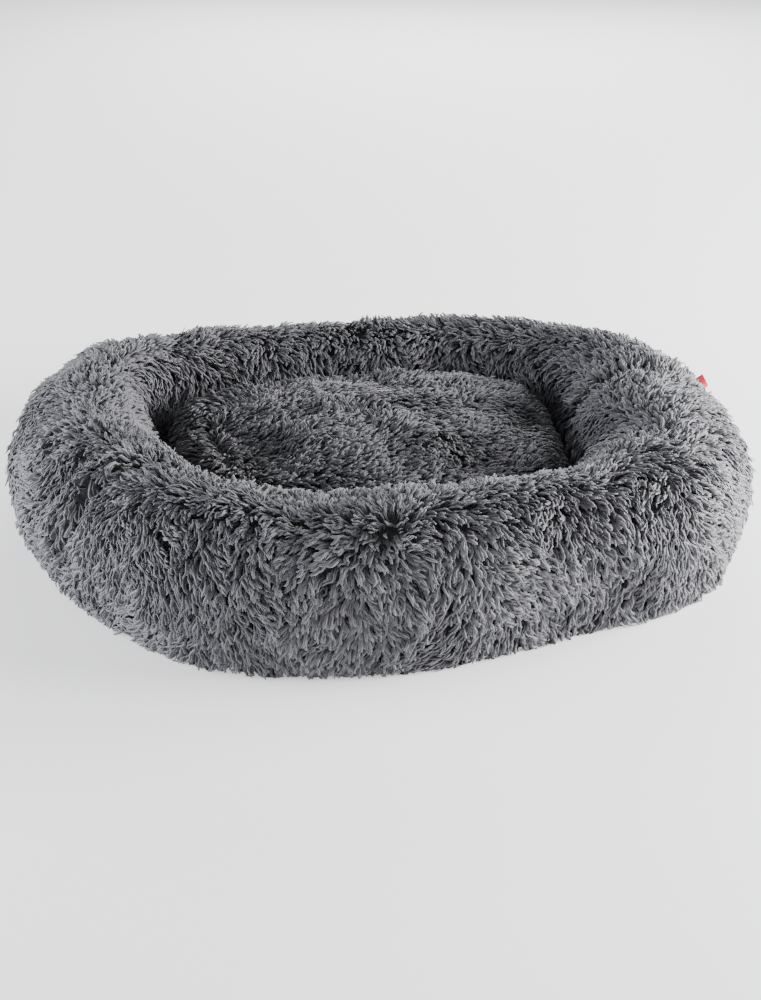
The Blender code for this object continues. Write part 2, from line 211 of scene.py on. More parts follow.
ANGLES, WALKED = angle_table()


def angle_at(share):
    """Plan angle after that share of the way round the ring, anticlockwise from +X."""
    turns = np.floor(share)
    return np.interp(share - turns, WALKED, ANGLES) + turns * 2 * math.pi


def roll_half(angle):
    """Half the roll's width there."""
    front = (1 - np.sin(angle)) / 2
    across = FRONT_ROLL * front + BACK_ROLL * (1 - front)
    return (END_ROLL * np.cos(angle) ** 2 + across * np.sin(angle) ** 2) / 2


def around(angle, place):
    """Shortest signed angle from place to angle."""
    return (angle - place + math.pi) % (2 * math.pi) - math.pi


def narrowing(angle):
    """How much thinner the roll's inner half is at the left end, where the nest reaches further out."""
    return 0.055 * np.exp(-(around(angle, math.radians(163)) / math.radians(32)) ** 2)


def ring_form(angle, turn, depth):
    """Plain form of the roll, depth below its surface: an ellipse set on a tucked-in foot."""
    front = (1 - np.sin(angle)) / 2
    crest = FRONT_HEIGHT * front + BACK_HEIGHT * (1 - front)
    belly = BELLY * crest
    across = depth + (roll_half(angle) - depth) * (1 - np.cos(turn))
    across = across + narrowing(angle) * np.minimum(np.cos(turn), 0)
    x, y = plan(angle, across)
    above = (crest - depth - belly) * np.sin(turn)
    below = (belly - RING_FOOT) * np.maximum(np.sin(turn) / math.sin(TUCK), -1.0)
    z = belly + np.where(np.sin(turn) > 0, above, below)
    return np.stack([x, y, z], axis=-1)


def bumps(angle, turn):
    """Sum of the dents, each falling off as exp(-(distance / spread)^2), and the pleat and crease."""
    total = fold(angle, turn)
    for place, height, wide, high, size in DENTS:
        aside = around(angle, math.radians(place)) / math.radians(wide)
        above = (turn - math.radians(height)) / math.radians(high)
        total = total + size * np.exp(-aside ** 2 - above ** 2)
    return total


def fold(angle, turn):
    """A pleat that runs slantwise up the front of the left end, and a crease down the nest's right wall."""
    pleat = around(angle, math.radians(211) + 0.12 * turn)
    crease = around(angle, SEAM_ANGLE)
    begins = ease(turn, math.radians(-25), math.radians(10))
    over = begins * (1 - ease(turn, math.radians(80), math.radians(115)))
    inside = ease(turn, math.radians(50), math.radians(110))
    lip = 0.014 * np.exp(-((pleat + 0.030) / 0.045) ** 2) - 0.009 * np.exp(-((pleat - 0.040) / 0.045) ** 2)
    return lip * over - 0.020 * np.exp(-(crease / 0.05) ** 2) * inside


def ring_skin(angle, turn, depth):
    """The roll as stuffed: its form, moved along its normal by the dents and by smooth noise.

    Towards the foot the normal is laid level, so that the foot stays on the base.
    """
    step = 1e-3
    form = ring_form(angle, turn, depth)
    along = ring_form(angle + step, turn, depth) - form
    over = ring_form(angle, turn + step, depth) - form
    normal = unit(np.cross(along, over))
    normal[..., 2] *= ease(turn, -TUCK, math.radians(20))
    lumps = 0.0032 * np.tanh(smooth_noise(form, 0.20, 11)) + 0.0024 * np.tanh(smooth_noise(form, 0.08, 12))
    standing = ease(form[..., 2], 0.0, 0.05)
    return form + unit(normal) * (lumps * standing + bumps(angle, turn))[..., None]


def nest_middle():
    """Middle of the opening inside the ring."""
    front = plan(np.array(-math.pi / 2), FRONT_ROLL)[1]
    back = plan(np.array(math.pi / 2), BACK_ROLL)[1]
    return np.array([0.0, (front + back) / 2])


NEST_X, NEST_Y = nest_middle()


def cushion_outline(angle, inset):
    """Point of the cushion's widest outline, moved inset towards the nest's middle."""
    x, y = plan(angle, 2 * roll_half(angle) + CUSHION_CLEARANCE - 0.6 * narrowing(angle))
    share = 1 - inset / np.hypot(x - NEST_X, y - NEST_Y)
    return NEST_X + (x - NEST_X) * share, NEST_Y + (y - NEST_Y) * share


def cushion_skin(angle, climb, depth):
    """Top of the cushion: climb runs from 0 at the seam, over the rounded edge, to 1 in the middle."""
    turn = np.minimum(climb / EDGE_CLIMB, 1.0) * math.pi / 2
    inset = depth + (CUSHION_ROUND - depth) * (1 - np.cos(turn))
    closing = np.clip((climb - EDGE_CLIMB) / (1 - EDGE_CLIMB), 0.0, 1.0)
    x, y = cushion_outline(angle, inset)
    x = x + (NEST_X - x) * closing
    y = y + (NEST_Y - y) * closing
    crown = (CUSHION_CROWN - CUSHION_RIM) * (1 - (1 - closing) ** 2)
    z = CUSHION_SEAM + (CUSHION_RIM - depth - CUSHION_SEAM) * np.sin(turn) + crown
    points = np.stack([x, y, z], axis=-1)
    lumps = 0.003 * smooth_noise(points, 0.16, 31) + 0.0015 * smooth_noise(points, 0.07, 32)
    points[..., 2] += (lumps - 0.003) * np.sin(turn)
    return points


# ---------------------------------------------------------------- meshes
def new_mesh(name, points, faces_by_size, smooth=True):
    """Object from an array of points and arrays of faces, each array with its own number of corners."""
    mesh = bpy.data.meshes.new(name)
    mesh.vertices.add(len(points))
    mesh.vertices.foreach_set("co", np.ascontiguousarray(points, np.float32).ravel())
    corners = np.concatenate([faces.ravel() for faces in faces_by_size]).astype(np.int32)
    sizes = np.concatenate([np.full(len(faces), faces.shape[1]) for faces in faces_by_size])
    starts = np.concatenate([[0], np.cumsum(sizes)[:-1]]).astype(np.int32)
    mesh.loops.add(len(corners))
    mesh.loops.foreach_set("vertex_index", corners)
    mesh.polygons.add(len(sizes))
    mesh.polygons.foreach_set("loop_start", starts)
    mesh.polygons.foreach_set("use_smooth", np.full(len(sizes), smooth))
    mesh.update(calc_edges=True)
    thing = bpy.data.objects.new(name, mesh)
    bpy.context.scene.collection.objects.link(thing)
    return thing


def grid_faces(rows, columns, wrap_rows=False, wrap=False):
    """Quads of a grid of points stored row by row; the wraps join last to first."""
    row, column = np.meshgrid(np.arange(rows if wrap_rows else rows - 1),
                              np.arange(columns if wrap else columns - 1), indexing="ij")
    above = (row + 1) % rows
    after = (column + 1) % columns
    near, far = row * columns, above * columns
    return np.stack([near + column, near + after, far + after, far + column], axis=-1).reshape(-1, 4)


def closed_disc(name, outer, inner, top, under):
    """Closed wall between two matching grids of rings, each shut in its middle by one more point."""
    rows, columns = outer.shape[:2]
    count = rows * columns
    points = np.concatenate([outer.reshape(-1, 3), inner.reshape(-1, 3), [top, under]])
    front = grid_faces(rows, columns, wrap=True)
    column = np.arange(columns)
    after = (column + 1) % columns
    rim = np.stack([after, column, column + count, after + count], axis=-1)
    last = (rows - 1) * columns
    shut = np.stack([last + column, last + after, np.full(columns, 2 * count)], axis=-1)
    shut_under = shut[:, [1, 0, 2]] + [count, count, 1]
    disc = new_mesh(name, points, [np.concatenate([front, front[:, ::-1] + count, rim]),
                                   np.concatenate([shut, shut_under])])
    face_out(disc)
    return disc


def loop_tube(name, centres, across, up, section):
    """Closed ring of a section: centres round the loop, and the section's points along across and up."""
    places = (centres[:, None] + across[:, None] * section[None, :, :1] + up[:, None] * section[None, :, 1:])
    tube = new_mesh(name, places.reshape(-1, 3), [grid_faces(len(centres), len(section), True, True)])
    face_out(tube)
    return tube


def thick_sheet(name, outer, inner):
    """Closed wall between two matching grids of points, with a strip of faces along its edge."""
    rows, columns = outer.shape[:2]
    count = rows * columns
    points = np.concatenate([outer.reshape(-1, 3), inner.reshape(-1, 3)])
    front = grid_faces(rows, columns)
    back = front[:, ::-1] + count
    index = np.arange(count).reshape(rows, columns)
    edge = np.concatenate([index[0, :-1], index[:-1, -1], index[-1, :0:-1], index[:0:-1, 0]])
    after = np.roll(edge, -1)
    rim = np.stack([after, edge, edge + count, after + count], axis=-1)
    thing = new_mesh(name, points, [np.concatenate([front, back, rim])])
    face_out(thing)
    return thing


def face_out(thing):
    """Turn every face round if the closed mesh encloses a negative volume."""
    mesh = thing.data
    mesh.calc_loop_triangles()
    corners = np.zeros(len(mesh.loop_triangles) * 3, np.int32)
    mesh.loop_triangles.foreach_get("vertices", corners)
    points = np.zeros(len(mesh.vertices) * 3, np.float32)
    mesh.vertices.foreach_get("co", points)
    a, b, c = points.reshape(-1, 3)[corners].reshape(-1, 3, 3).transpose(1, 0, 2)
    if (a * np.cross(b, c)).sum() < 0:
        mesh.flip_normals()


# ---------------------------------------------------------------- pile
def clumps_of(cells, seed):
    """Number of the nearest jittered cell centre for each point of a plane, cells 1 apart."""
    chance = np.random.default_rng(seed)
    home = np.floor(cells).astype(int)
    low = home.min(axis=0) - 1
    size = home.max(axis=0) - low + 2
    jitter = chance.uniform(0.1, 0.9, (*size, 2))
    best = np.full(len(cells), np.inf)
    number = np.zeros(len(cells), int)
    for step in np.ndindex(3, 3):
        cell = home + np.array(step) - 1
        place = cell - low
        centre = cell + jitter[place[:, 0], place[:, 1]]
        distance = ((cells - centre) ** 2).sum(axis=1)
        nearer = distance < best
        best = np.where(nearer, distance, best)
        number = np.where(nearer, place[:, 0] * size[1] + place[:, 1], number)
    return np.unique(number, return_inverse=True)[1]


def clump_mean(values, clump):
    """Mean of the values of each clump, given back to each of its locks."""
    count = np.bincount(clump)
    means = [np.bincount(clump, values[:, axis]) / count for axis in range(values.shape[1])]
    return np.stack(means, axis=-1)[clump]


def bend_locks(root, normal, comb, length, lift, wave, phase, pull):
    """Middle line of each lock: it leaves the cloth near its normal, leans over along the comb, curls from
    side to side, and draws towards its clump by pull. Gives points and directions at LOCK_RINGS and tip.
    The lean is lift[0] + (lift[1] - lift[0]) * t^0.7 + 0.5 * wave * sin(curl), t from 0 at the root to 1."""
    along = (np.arange(LOCK_STEPS) + 0.5) / LOCK_STEPS
    curl = 2 * math.pi * 1.15 * along + phase[:, None]
    lean = lift[:, :1] + (lift[:, 1:] - lift[:, :1]) * along ** 0.7 + 0.5 * wave[:, None] * np.sin(curl)
    side = np.cross(normal, comb)
    heading = (normal[:, None] * np.cos(lean)[..., None] + comb[:, None] * np.sin(lean)[..., None]
               + side[:, None] * (wave[:, None] * np.cos(curl))[..., None])
    walked = np.cumsum(unit(heading), axis=1) * (length / LOCK_STEPS)[:, None, None]
    walked = np.concatenate([np.zeros_like(walked[:, :1]), walked], axis=1)
    stops = np.rint(np.array([*LOCK_RINGS, 1.0]) * LOCK_STEPS).astype(int)
    share = stops / LOCK_STEPS
    points = root[:, None] + walked[:, stops] + pull[:, None] * (share ** 1.3)[None, :, None]
    headings = unit(heading)[:, np.minimum(stops, LOCK_STEPS - 1)]
    return points, headings


def lock_mesh(name, points, headings, normal, width, tone, floor):
    """Locks as closed tapering three-sided horns. The map OFBake holds tone across and root to tip along."""
    count = len(points)
    rings = len(LOCK_RINGS)
    side = unit(np.cross(headings[:, :rings], normal[:, None]))
    outward = np.cross(side, headings[:, :rings])
    reach = (width[:, None] * np.array(LOCK_WIDTHS))[..., None]
    middle = points[:, :rings]
    corners = np.stack([middle - side * reach * 0.5, middle + side * reach * 0.5,
                        middle + outward * reach * 0.45], axis=2)
    each = rings * 3 + 1
    places = np.concatenate([corners.reshape(count, rings * 3, 3), points[:, rings:]], axis=1)
    places[..., 2] = np.maximum(places[..., 2], floor)
    band, corner = np.meshgrid(np.arange(rings - 1), np.arange(3), indexing="ij")
    band, corner = band.ravel(), corner.ravel()
    after = (corner + 1) % 3
    start = band * 3
    quads = np.stack([start + corner, start + after, start + 3 + after, start + 3 + corner], axis=-1)
    last = (rings - 1) * 3
    tips = np.array([[last + j, last + (j + 1) % 3, each - 1] for j in range(3)])
    cap = np.array([[2, 1, 0]])
    first = (np.arange(count) * each)[:, None, None]
    quads_all = (quads[None] + first).reshape(-1, 4)
    tips_all = (np.concatenate([tips, cap])[None] + first).reshape(-1, 3)
    thing = new_mesh(name, places.reshape(-1, 3), [quads_all, tips_all])
    face_out(thing)
    paint_locks(thing, each, tone)
    return thing


def paint_locks(thing, each, tone):
    """Write the lock's tone and the place along it into the mesh's map."""
    mesh = thing.data
    vertex = np.zeros(len(mesh.loops), np.int32)
    mesh.loops.foreach_get("vertex_index", vertex)
    lock = vertex // each
    place = vertex % each
    along = np.array([*np.repeat(LOCK_RINGS, 3), 1.0])[place]
    across = np.where(place == each - 1, 1, place % 3) * 0.006
    layer = mesh.uv_layers.new(name="OFBake")
    values = np.stack([0.01 + 0.96 * tone[lock] + across, 0.01 + 0.98 * along], axis=-1)
    layer.data.foreach_set("uv", values.astype(np.float32).ravel())


def sample_ring(count, seed):
    """Even scatter of places over the ring, as share of the way round and turn round the roll."""
    chance = np.random.default_rng(seed)
    low, high = -TUCK * 0.95, math.pi + TUCK * 0.9
    tries = int(count * 2.6)
    share = chance.uniform(0, 1, tries)
    turn = chance.uniform(low, high, tries)
    step = 1e-3
    here = ring_form(angle_at(share), turn, RING_CLOTH_DEPTH)
    along = ring_form(angle_at(share + step), turn, RING_CLOTH_DEPTH) - here
    over = ring_form(angle_at(share), turn + step, RING_CLOTH_DEPTH) - here
    area = np.linalg.norm(np.cross(along, over), axis=1)
    hidden = ease(turn, math.radians(170), math.radians(195))
    wanted = area * (1 - 0.55 * hidden)
    kept = np.flatnonzero(chance.uniform(0, wanted.max(), tries) < wanted)[:count]
    return share[kept], turn[kept]


def ring_frame(share, turn):
    """Place, outward normal and the two tangents, round the ring and over the roll, of the ring's cloth."""
    step = 2e-3
    angle = angle_at(share)
    here = ring_skin(angle, turn, RING_CLOTH_DEPTH)
    along = unit(ring_skin(angle + step, turn, RING_CLOTH_DEPTH) - here)
    over = unit(ring_skin(angle, turn + step, RING_CLOTH_DEPTH) - here)
    return here, unit(np.cross(along, over)), along, over


def ring_comb(root, normal, along, over, angle, turn):
    """Way the ring's pile lies: down outside, over into the nest inside, and along the crest between them,
    away from a parting at the front. Also how settled it is, from 0 in the parting to 1."""
    parting = around(angle, math.radians(PARTING))
    crest = 98 - 38 * np.exp(-(parting / 0.22) ** 2)
    inside = ease(np.degrees(turn), crest - 42, crest + 42)
    across = 2 * inside - 1
    distance = np.abs(parting)
    flow = np.tanh(parting / 0.12) * np.where(distance > 2.6, np.tanh((math.pi - distance) / 0.2), 1)
    comb = over * across[:, None] + along * (flow * np.sqrt(1 - across ** 2))[:, None]
    settled = ease(np.linalg.norm(comb, axis=1), 0.0, 0.75)
    comb = unit(comb - normal * (comb * normal).sum(axis=1, keepdims=True))
    turned = 0.42 * smooth_noise(root, 0.15, 41) + 0.25 * smooth_noise(root, 0.05, 42)
    return unit(comb * np.cos(turned)[:, None] + np.cross(normal, comb) * np.sin(turned)[:, None]), settled


def grow(root, normal, comb, cells, length, lying, spread, seed):
    """Shape of every lock from its root, with the traits that a clump shares and each lock's own."""
    chance = np.random.default_rng(seed)
    clump = clumps_of(cells, seed)
    groups = clump.max() + 1
    shared = chance.normal(size=(groups, 6))[clump]
    count = len(root)
    own = chance.normal(size=(count, 6))
    side = np.cross(normal, comb)
    comb = unit(comb + side * (0.20 * shared[:, :1] + 0.13 * own[:, :1]))
    long = length * np.clip(1 + 0.08 * shared[:, 1] + 0.09 * own[:, 1], 0.7, 1.25)
    lift = np.stack([0.34 + 0.12 * shared[:, 2] + 0.10 * own[:, 2],
                     lying + 0.13 * shared[:, 3] + 0.10 * own[:, 3]], axis=-1)
    wave = np.abs(0.60 + 0.18 * shared[:, 4] + 0.14 * own[:, 4])
    phase = 2.2 * smooth_noise(root, 0.03, seed + 9) + 0.9 * shared[:, 5] + 0.2 * own[:, 5]
    centre = clump_mean(root, clump)
    pull = (centre - root) * chance.uniform(0.3, 0.65, count)[:, None]
    points, headings = bend_locks(root, normal, comb, long, lift, wave, phase, pull)
    patches = 0.6 * smooth_noise(root, 0.10, seed + 5)
    tone = 0.5 + spread * (chance.normal(size=groups)[clump] + own[:, 4] + patches)
    width = LOCK_WIDTH * np.clip(1 + 0.20 * chance.normal(size=count), 0.5, 1.6)
    return points, headings, width, np.clip(tone, 0, 1)


def ring_pile(finish):
    """All the ring's locks, in sectors."""
    share, turn = sample_ring(RING_LOCKS, 5)
    order = np.argsort(share)
    share, turn = share[order], turn[order]
    root, normal, along, over = ring_frame(share, turn)
    comb, settled = ring_comb(root, normal, along, over, angle_at(share), turn)
    cells = np.stack([share * 2.25 / CLUMP, turn * 0.088 / CLUMP], axis=-1)
    upright = np.exp(-((turn - math.radians(95)) / 0.7) ** 2)
    points, headings, width, tone = grow(root, normal, comb, cells, RING_PILE_LENGTH - 0.006 * upright,
                                         (1.72 - 0.26 * upright) * (0.45 + 0.55 * settled), 0.08, 7)
    bounds = np.linspace(0, len(share), RING_SECTORS + 1).astype(int)
    for sector in range(RING_SECTORS):
        part = slice(bounds[sector], bounds[sector + 1])
        pile = lock_mesh(f"ring_pile_{sector + 1}", points[part], headings[part], normal[part], width[part],
                         tone[part], 0.0012)
        dress(pile, finish, "bed")


def cushion_pile(finish):
    """The cushion's locks, in three pieces."""
    chance = np.random.default_rng(21)
    tries = CUSHION_LOCKS * 5
    share = chance.uniform(0, 1, tries)
    climb = chance.uniform(0.02, 1, tries)
    step = 1e-3
    angle = angle_at(share)
    here = cushion_skin(angle, climb, CUSHION_CLOTH_DEPTH)
    along = cushion_skin(angle_at(share + step), climb, CUSHION_CLOTH_DEPTH) - here
    over = cushion_skin(angle, climb + step, CUSHION_CLOTH_DEPTH) - here
    area = np.linalg.norm(np.cross(along, over), axis=1)
    kept = np.flatnonzero(chance.uniform(0, np.quantile(area, 0.995), tries) < area)[:CUSHION_LOCKS]
    root, along, over = here[kept], unit(along[kept]), unit(over[kept])
    normal = unit(np.cross(along, over))
    outwards = -over
    top = ease(climb[kept], 0.25, 0.55)[:, None]
    swirl = smooth_noise(root, 0.13, 51)[:, None]
    across = unit(np.array([1.0, 0.25, 0.0]) + swirl * np.array([-0.3, 0.9, 0.0]))
    comb = outwards * (1.1 - top) + across * top + along * swirl * 0.5
    comb = unit(comb - normal * (comb * normal).sum(axis=1, keepdims=True))
    cells = root[:, :2] / CLUMP
    points, headings, width, tone = grow(root, normal, comb, cells, CUSHION_PILE_LENGTH,
                                         np.full(len(root), 1.6), 0.07, 23)
    third = np.digitize(root[:, 0], (-0.075, 0.075))
    for number, word in enumerate(("left", "middle", "right")):
        part = third == number
        pile = lock_mesh(f"cushion_pile_{word}", points[part], headings[part], normal[part], width[part],
                         tone[part], CUSHION_LEVEL)
        dress(pile, finish, "cushion")


# ---------------------------------------------------------------- cloth under the pile
def ring_cloth(name, first_angle, node, finish):
    """Backing of half the ring's cover, as a wall 3 mm thick, from one seam to the other."""
    trim = 0.0007
    angle = np.linspace(first_angle + trim, first_angle + math.pi - trim, 150)[:, None]
    turn = np.linspace(-TUCK, math.pi + TUCK, 64)[None, :]
    angle, turn = np.broadcast_arrays(angle, turn)
    cloth = thick_sheet(name, ring_skin(angle, turn, RING_CLOTH_DEPTH),
                        ring_skin(angle, turn, RING_CLOTH_DEPTH + 0.003))
    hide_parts(node)
    dress(cloth, finish, "bed")


def ring_fill(finish):
    """Fibre in the ring: a closed roll 2 mm under the cover's backing, flat on the base."""
    angle = np.arange(160)[:, None] * (math.pi / 80)
    turn = np.linspace(-TUCK, math.pi + TUCK, 36)[None, :]
    angle, turn = np.broadcast_arrays(angle, turn)
    points = ring_skin(angle, turn, RING_CLOTH_DEPTH + 0.005)
    fill = new_mesh("ring_fill", points.reshape(-1, 3), [grid_faces(160, 36, True, True)])
    face_out(fill)
    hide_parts("bolster_fill")
    dress(fill, finish, "bed")


def cushion_layer(name, depth, wall):
    """Closed shell under the cushion's top surface, from the side seam to the middle."""
    angle = np.arange(160)[None, :] * (math.pi / 80)
    climb = (np.arange(39) / 39)[:, None]
    angle, climb = np.broadcast_arrays(angle, climb)
    outer = cushion_skin(angle, climb, depth)
    inner = cushion_skin(angle, climb, depth + wall)
    return closed_disc(name, outer, inner, outer[-1].mean(axis=0), inner[-1].mean(axis=0))


def cushion_under(angle, climb, depth):
    """Underside of the cushion: climb runs from 0 at the seam, round the edge, to 1 in the middle."""
    turn = np.minimum(climb / EDGE_CLIMB, 1.0) * math.pi / 2
    x, y = cushion_outline(angle, depth + (CUSHION_ROUND - depth) * (1 - np.cos(turn)))
    closing = np.clip((climb - EDGE_CLIMB) / (1 - EDGE_CLIMB), 0.0, 1.0)
    z = CUSHION_SEAM - 0.0006 - (CUSHION_SEAM - CUSHION_LEVEL - depth) * np.sin(turn)
    return np.stack([x + (NEST_X - x) * closing, y + (NEST_Y - y) * closing, z], axis=-1)


def cushion_inside(plush, lining, stuffing):
    """The plush panel's backing, and the pad inside it: casing and fibre."""
    cloth = cushion_layer("cushion_cloth", CUSHION_CLOTH_DEPTH, 0.002)
    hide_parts("cushion_top_panel")
    dress(cloth, plush, "cushion")
    casing = cushion_layer("pad_casing_upper", CUSHION_CLOTH_DEPTH + 0.003, 0.001)
    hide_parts("pad_casing_top")
    dress(casing, lining, "cushion")
    angle, climb = np.broadcast_arrays(np.arange(120)[None, :] * (math.pi / 60),
                                       (np.arange(30) / 30)[:, None])
    top = cushion_skin(angle, climb, CUSHION_CLOTH_DEPTH + 0.006)
    under = cushion_under(angle, climb, CUSHION_CLOTH_DEPTH + 0.006)
    under[..., 2] = np.maximum(under[..., 2], CUSHION_LEVEL + 0.0095)
    fill = closed_disc("pad_fibre", top, under, top[-1].mean(axis=0), under[-1].mean(axis=0))
    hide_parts("pad_fill")
    dress(fill, stuffing, "cushion")


def underside_panel(side, word, finish):
    """Front or rear half of the cushion's underside: round the edge from the seam, then flat in to the zip's
    slot, with pleats where the cloth is gathered in to the curve. Past the ends of the zip the two halves
    meet, because the slot opens as the eighth power of the way in to it."""
    angle, climb = np.broadcast_arrays(np.linspace(0.001, math.pi - 0.001, 150)[:, None] * side,
                                       np.linspace(0, 1, 30)[None, :])
    in_to_slot = np.clip((climb - EDGE_CLIMB) / (1 - EDGE_CLIMB), 0.0, 1.0)
    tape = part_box("zip_tape_front")
    slot_x = tape[1].x * np.cos(angle)
    layers = []
    for depth in (0.0, 0.0016):
        points = cushion_under(angle, np.minimum(climb, EDGE_CLIMB), depth)
        points[..., 0] += (slot_x - points[..., 0]) * in_to_slot
        points[..., 1] += side * SLOT_HALF * in_to_slot ** 8 - points[..., 1] * in_to_slot
        points[..., 1] += side * 0.0004
        pleat = np.abs(np.sin(angle * 27)) * np.sin(np.clip(climb / 0.7, 0, 1) * math.pi)
        points[..., 2] += 0.0016 * pleat * np.clip(climb / 0.2, 0, 1)
        layers.append(points)
    panel = thick_sheet(f"underside_{word}", *layers)
    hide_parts(f"cushion_underside_{word}")
    dress(panel, finish, "cushion")


def disc_layer(name, edge, under, top, sag):
    """Flat sheet inside a closed outline, its top sagging by up to sag in soft puckers."""
    inwards = (1 - (np.arange(24) / 24))[:, None, None]
    middle = edge.mean(axis=0)
    flat = middle + (edge - middle)[None] * inwards
    points = np.concatenate([flat, np.zeros((*flat.shape[:2], 1))], axis=-1)
    pucker = 0.5 + 0.5 * np.tanh(smooth_noise(points, 0.05, 61))
    upper = points + [0, 0, top]
    upper[..., 2] -= sag * pucker
    lower = points + [0, 0, under]
    return closed_disc(name, upper, lower, [*middle, top - sag], [*middle, under])


def base_layers(base, wadding, tape, rubber):
    """Base sheet with its bound edge and rubber dots, and the wadding and floor cloth inside the ring."""
    angle = np.arange(180) * (math.pi / 90)
    foot = ring_skin(angle, np.full(180, -TUCK), RING_CLOTH_DEPTH - 0.001)[:, :2]
    sheet = disc_layer("base_sheet", foot, 0.0008, BASE_THICKNESS, 0.0)
    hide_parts("base_panel")
    dress(sheet, base, "bed")
    inner = ring_skin(angle, np.full(180, math.pi + TUCK), RING_CLOTH_DEPTH)[:, :2]
    low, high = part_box("floor_wadding")
    quilt = disc_layer("floor_quilt", inner, low.z, high.z, 0.0015)
    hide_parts("floor_wadding")
    dress(quilt, wadding, "bed")
    low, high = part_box("floor_panel")
    cloth = disc_layer("floor_cloth", inner, low.z, high.z, 0.0012)
    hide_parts("floor_panel")
    dress(cloth, base, "bed")
    bind_edge(foot, tape)
    rubber_dots(foot, rubber)


def bind_edge(foot, finish):
    """Tape folded over the base's edge: a flat oval section swept round it."""
    centres = np.concatenate([foot, np.full((len(foot), 1), 0.0021)], axis=1)
    along = unit(np.roll(centres, -1, axis=0) - np.roll(centres, 1, axis=0))
    up = np.tile([0.0, 0.0, 1.0], (len(foot), 1))
    turn = np.arange(12) * (math.pi / 6)
    section = np.stack([0.0045 * np.cos(turn) - 0.003, 0.0019 * np.sin(turn)], axis=-1)
    binding = loop_tube("base_binding", centres, np.cross(along, up), up, section)
    dress(binding, finish, "bed")


# ---------------------------------------------------------------- labels, zip and rubber dots
def ribbon_loop(name, root, out, along, aside, size, finish, body, node):
    """Ribbon folded double and sewn in by its ends: a hairpin section swept along its width, a little curled.

    size is the width along the seam, the reach out of it, and the gap between the two layers."""
    wide, reach, gap = size
    fold_turn = np.linspace(-math.pi / 2, math.pi / 2, 9)
    leg = np.linspace(0, reach - gap / 2, 8)
    bend = np.stack([reach - gap / 2 + gap / 2 * np.cos(fold_turn), gap / 2 * np.sin(fold_turn)], axis=-1)
    path = np.concatenate([np.stack([leg, np.full(8, -gap / 2)], axis=-1), bend[1:-1],
                           np.stack([leg[::-1], np.full(8, gap / 2)], axis=-1)])
    steps = np.gradient(path, axis=0)
    sideways = unit(np.stack([-steps[:, 1], steps[:, 0]], axis=-1))
    place = np.linspace(-0.5, 0.5, 14)[None, :]
    layers = []
    for offset in (-0.00018, 0.00018):
        x, y = (path + sideways * offset).T[:, :, None]
        curl = 0.0012 * np.sin(place * 5 + 1) * (x / reach) ** 2 * reach / 0.012
        across = along * (place * wide + 0 * x)[..., None]
        layers.append(root + out * x[..., None] + aside * (y + curl)[..., None] + across)
    ribbon = thick_sheet(name, *layers)
    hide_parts(node)
    dress(ribbon, finish, body)
    stitches(name + "_stitches", root + out * 0.0025, along, aside, wide, gap, finish, body)


def stitches(name, middle, along, aside, wide, gap, finish, body):
    """Row of short thread stitches across a ribbon, each a flattened six-sided bead."""
    count = int(wide / STITCH_PITCH)
    spots = (np.arange(count) - (count - 1) / 2) * STITCH_PITCH
    turn = np.arange(6) * (math.pi / 3)
    out = np.cross(along, aside)
    rings = []
    for place, size in ((-0.0009, 0.3), (-0.0004, 1.0), (0.0004, 1.0), (0.0009, 0.3)):
        circle = (out * np.cos(turn)[:, None] + aside * np.sin(turn)[:, None]) * 0.00022 * size
        rings.append(circle + along * place)
    bead = np.concatenate(rings)
    sides = grid_faces(4, 6, wrap=True)
    caps = np.stack([np.arange(6)[::-1], np.arange(18, 24)])
    row = middle + along * spots[:, None]
    centres = np.concatenate([row + aside * side * (gap / 2 + 0.0003) for side in (-1, 1)])
    points = (centres[:, None] + bead[None]).reshape(-1, 3)
    first = (np.arange(len(centres)) * 24)[:, None, None]
    thread = new_mesh(name, points, [(sides[None] + first).reshape(-1, 4),
                                     (caps[None] + first).reshape(-1, 6)])
    face_out(thread)
    dress(thread, finish, body)


def labels(red, white):
    """Blank red ribbon in the ring's right seam, and blank white care ribbon at the rear of the base."""
    step = 1e-3
    angle, turn = np.array(SEAM_ANGLE), np.array(math.radians(36))
    here = ring_skin(angle, turn, 0.0)
    over = unit(ring_skin(angle, turn + step, 0.0) - here)
    along = unit(ring_skin(angle + step, turn, 0.0) - here)
    out = unit(np.cross(along, over))
    ribbon_loop("red_ribbon", here - out * 0.006, out, over, np.cross(out, over), RED_RIBBON, red,
                "bed", "side_label")
    foot = ring_skin(np.array(math.radians(72)), np.array(-TUCK), RING_CLOTH_DEPTH)
    out = unit(np.array([foot[0] * 0.4, foot[1], 0.0]))
    root = np.array([foot[0], foot[1], BASE_THICKNESS + 0.0012])
    ribbon_loop("care_ribbon", root, out, np.array([out[1], -out[0], 0.0]), np.array([0.0, 0.0, 1.0]),
                CARE_RIBBON, white, "bed", "care_label")


